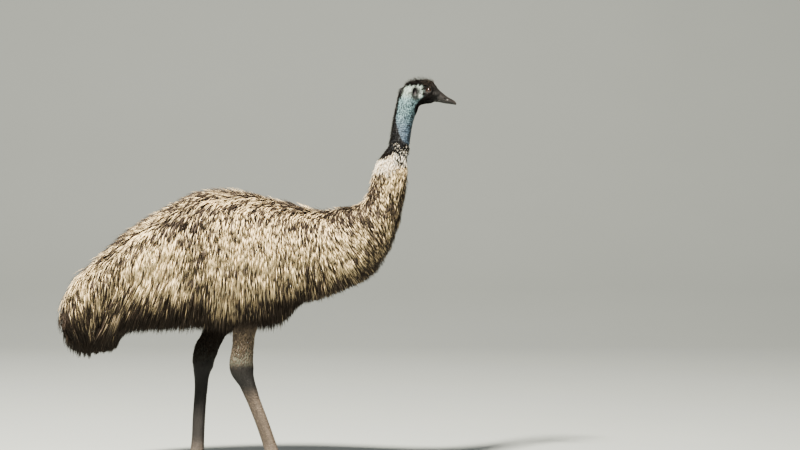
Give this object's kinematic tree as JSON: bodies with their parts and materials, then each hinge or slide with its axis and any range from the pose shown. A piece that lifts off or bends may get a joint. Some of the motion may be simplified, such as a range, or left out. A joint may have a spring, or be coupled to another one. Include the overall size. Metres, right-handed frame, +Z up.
{
  "type": "emu",
  "caption": "Large flightless bird with a shaggy coat, long bare neck and strong three-toed legs, walking on level ground.",
  "frame": {"origin": "on the ground, under the middle of the bird's bounding box", "axes": "+X the way the bird faces, +Y towards its left side, +Z up"},
  "size_m": [1.4959, 0.4717, 1.5018],
  "materials": {
    "coat": "shaggy feathers, pale straw over dark brown",
    "dark_coat": "shaggy feathers, dark brown",
    "neck_skin": "bare bluish skin with sparse hair-like feathers",
    "head_skin": "short black hair-like feathers over skin",
    "bill": "horn, satin",
    "eye": "wet gloss",
    "leg_skin": "scaly skin",
    "claw": "horn, satin"
  },
  "bodies": {
    "root": {"torso": "coat", "tail": "dark_coat", "neck_lower": "coat", "neck_middle": "coat", "neck_upper": "neck_skin", "head": "head_skin", "bill_upper": "bill", "bill_lower": "bill", "eye_right": "eye", "eye_left": "eye", "wing_right": "coat", "wing_left": "coat", "upper_leg_right": "leg_skin", "upper_leg_left": "leg_skin", "shank_right": "leg_skin", "shank_left": "leg_skin", "foot_right": "leg_skin", "foot_left": "leg_skin", "claw_right_inner": "claw", "claw_right_middle": "claw", "claw_right_outer": "claw", "claw_left_inner": "claw", "claw_left_middle": "claw", "claw_left_outer": "claw"}
  },
  "joints": []
}
